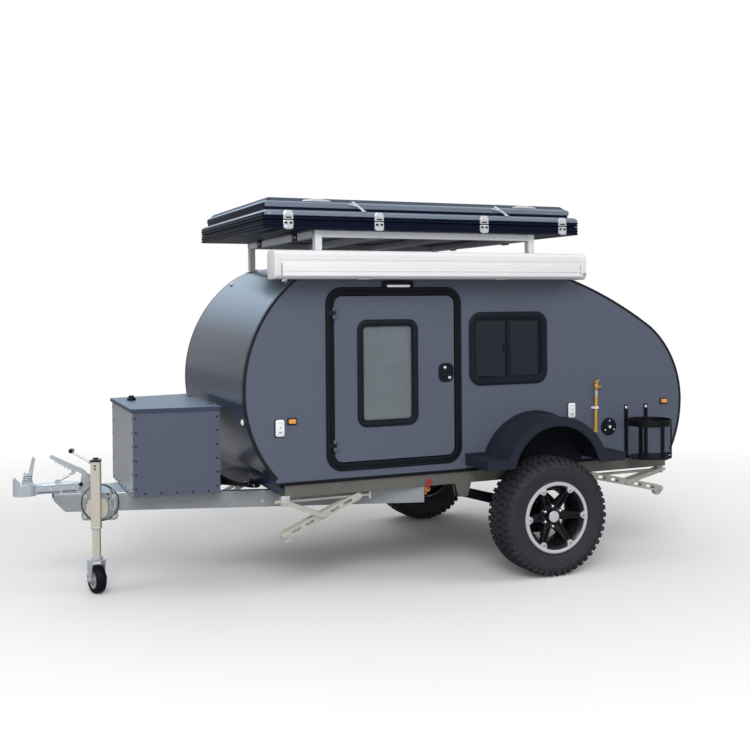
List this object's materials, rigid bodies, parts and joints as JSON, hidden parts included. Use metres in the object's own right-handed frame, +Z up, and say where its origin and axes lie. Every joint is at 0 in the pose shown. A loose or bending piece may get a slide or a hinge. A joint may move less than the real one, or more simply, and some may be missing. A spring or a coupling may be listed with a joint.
{
  "type": "teardrop trailer",
  "caption": "Off-road teardrop camping trailer with doors, rear hatch, roof rack with hard-shell tent, awning, drawbar toolbox, jockey wheel and corner steadies.",
  "frame": {"origin": "on the floor, under the middle of the overall length and width", "axes": "+X forward to the coupling, +Y to the left side, +Z up"},
  "size_m": [4.02, 2.1, 2.205],
  "materials": {
    "blue_panel": "satin",
    "blue_skin": "gloss",
    "black_plastic": "matte",
    "black_metal": "satin",
    "zinc": "galvanised",
    "silver": "satin",
    "white_shell": "satin",
    "tint": "dark tint",
    "tyre": "matte",
    "rim": "satin",
    "rubber": "matte",
    "wood": "plywood",
    "amber": "clear lens",
    "red": "clear lens",
    "yellow_metal": "satin",
    "red_cable": "plastic coat on wire rope",
    "white_plastic": "gloss"
  },
  "bodies": {
    "trailer": {"left_wall": "blue_panel", "right_wall": "blue_panel", "front_panel": "blue_skin", "roof_panel": "blue_skin", "rear_panel": "blue_skin", "hatch_hinges": "black_metal", "cabin_floor": "wood", "door_frames": "black_plastic", "side_window_frames": "black_plastic", "side_window_panes": "tint", "chassis_frame": "zinc", "drawbar": "zinc", "coupler_head": "zinc", "brake_quadrant": "zinc", "handbrake_lever": "zinc", "trailing_arms": "black_metal", "suspension_springs": "black_metal", "fenders": "black_plastic", "roof_rack": "silver", "awning_case": "white_shell", "tent_base": "black_metal", "toolbox": "blue_panel", "steady_spindles": "zinc", "jockey_bracket": "zinc", "bottle_holder": "black_metal", "water_tank": "white_plastic", "amber_markers": "amber", "outside_lamps": "white_plastic", "gas_pipe": "yellow_metal", "breakaway_cable": "red_cable", "cable_hook": "zinc", "socket_covers": "white_plastic", "filler_disc": "black_plastic", "tail_lamps": "red", "cabin_fitout": "wood"},
    "left_wheel": {"left_tyre": "tyre", "left_rim": "rim"},
    "right_wheel": {"right_tyre": "tyre", "right_rim": "rim"},
    "left_door_leaf": {"left_door": "blue_panel", "left_door_window": "black_plastic", "left_door_glass": "tint"},
    "right_door_leaf": {"right_door": "blue_panel", "right_door_window": "black_plastic", "right_door_glass": "tint"},
    "hatch": {"galley_hatch": "blue_skin"},
    "box_lid": {"toolbox_lid": "blue_panel"},
    "roof_tent_lid": {"tent_lid": "black_metal"},
    "jockey_swing": {"jockey_tube": "zinc"},
    "jockey_slide": {"jockey_leg": "zinc"},
    "jockey_caster": {"jockey_fork": "zinc"},
    "jockey_roller": {"jockey_wheel": "rubber"},
    "front_left_link": {"front_left_steady_link": "zinc"},
    "front_left_leg": {"front_left_steady_leg": "zinc"},
    "front_right_link": {"front_right_steady_link": "zinc"},
    "front_right_leg": {"front_right_steady_leg": "zinc"},
    "rear_left_link": {"rear_left_steady_link": "zinc"},
    "rear_left_leg": {"rear_left_steady_leg": "zinc"},
    "rear_right_link": {"rear_right_steady_link": "zinc"},
    "rear_right_leg": {"rear_right_steady_leg": "zinc"}
  },
  "joints": [
    {"name": "left_wheel_spin", "type": "hinge", "parent": "trailer", "child": "left_wheel", "pos_m": [-0.902, 0.929, 0.348], "axis": [0, 1, 0], "continuous": true},
    {"name": "right_wheel_spin", "type": "hinge", "parent": "trailer", "child": "right_wheel", "pos_m": [-0.902, -0.929, 0.348], "axis": [0, 1, 0], "continuous": true},
    {"name": "left_door_hinge", "type": "hinge", "parent": "trailer", "child": "left_door_leaf", "pos_m": [0.374, 0.78, 1.19], "axis": [0, 0, -1], "range_deg": [0, 105]},
    {"name": "right_door_hinge", "type": "hinge", "parent": "trailer", "child": "right_door_leaf", "pos_m": [0.374, -0.78, 1.19], "axis": [0, 0, 1], "range_deg": [0, 105]},
    {"name": "hatch_hinge", "type": "hinge", "parent": "trailer", "child": "hatch", "pos_m": [-1.181, 0, 1.767], "axis": [0, 1, 0], "range_deg": [0, 70]},
    {"name": "toolbox_lid_hinge", "type": "hinge", "parent": "trailer", "child": "box_lid", "pos_m": [0.93, 0, 1.034], "axis": [0, -1, 0], "range_deg": [0, 85]},
    {"name": "tent_lid_hinge", "type": "hinge", "parent": "trailer", "child": "roof_tent_lid", "pos_m": [0, -0.797, 2.0725], "axis": [1, 0, 0], "range_deg": [0, 80]},
    {"name": "jockey_swing_pivot", "type": "hinge", "parent": "trailer", "child": "jockey_swing", "pos_m": [1.57356, 0.15939, 0.47], "axis": [0.3205, 0.9472, 0], "range_deg": [0, 75]},
    {"name": "jockey_screw", "type": "slide", "parent": "jockey_swing", "child": "jockey_slide", "axis": [0, 0, 1], "range_m": [0, 0.15]},
    {"name": "jockey_swivel", "type": "hinge", "parent": "jockey_slide", "child": "jockey_caster", "pos_m": [1.58703, 0.19918, 0.2], "axis": [0, 0, 1], "continuous": true},
    {"name": "jockey_roll", "type": "hinge", "parent": "jockey_caster", "child": "jockey_roller", "pos_m": [1.58703, 0.19918, 0.08], "axis": [0.9598, 0.2808, 0], "continuous": true},
    {"name": "front_left_steady_hinge", "type": "hinge", "parent": "trailer", "child": "front_left_link", "pos_m": [0.654, 0.715, 0.519], "axis": [0, -1, 0], "range_deg": [-15.25, 36.75]},
    {"name": "front_left_steady_knee", "type": "hinge", "parent": "front_left_link", "child": "front_left_leg", "pos_m": [0.439, 0.715, 0.42664], "axis": [0, -1, 0], "range_deg": [-73.5, 30.5]},
    {"name": "front_right_steady_hinge", "type": "hinge", "parent": "trailer", "child": "front_right_link", "pos_m": [0.654, -0.715, 0.519], "axis": [0, -1, 0], "range_deg": [-15.25, 36.75]},
    {"name": "front_right_steady_knee", "type": "hinge", "parent": "front_right_link", "child": "front_right_leg", "pos_m": [0.439, -0.715, 0.42664], "axis": [0, -1, 0], "range_deg": [-73.5, 30.5]},
    {"name": "rear_left_steady_hinge", "type": "hinge", "parent": "trailer", "child": "rear_left_link", "pos_m": [-1.862, 0.715, 0.519], "axis": [0, 1, 0], "range_deg": [-5.12, 46.88]},
    {"name": "rear_left_steady_knee", "type": "hinge", "parent": "rear_left_link", "child": "rear_left_leg", "pos_m": [-1.601, 0.715, 0.45815], "axis": [0, 1, 0], "range_deg": [-93.76, 10.24]},
    {"name": "rear_right_steady_hinge", "type": "hinge", "parent": "trailer", "child": "rear_right_link", "pos_m": [-1.862, -0.715, 0.519], "axis": [0, 1, 0], "range_deg": [-5.12, 46.88]},
    {"name": "rear_right_steady_knee", "type": "hinge", "parent": "rear_right_link", "child": "rear_right_leg", "pos_m": [-1.601, -0.715, 0.45815], "axis": [0, 1, 0], "range_deg": [-93.76, 10.24]}
  ],
  "couplings": [
    {"joint": "front_left_steady_knee", "follows": "front_left_steady_hinge", "ratio": -2},
    {"joint": "front_right_steady_knee", "follows": "front_right_steady_hinge", "ratio": -2},
    {"joint": "rear_left_steady_knee", "follows": "rear_left_steady_hinge", "ratio": -2},
    {"joint": "rear_right_steady_knee", "follows": "rear_right_steady_hinge", "ratio": -2}
  ]
}
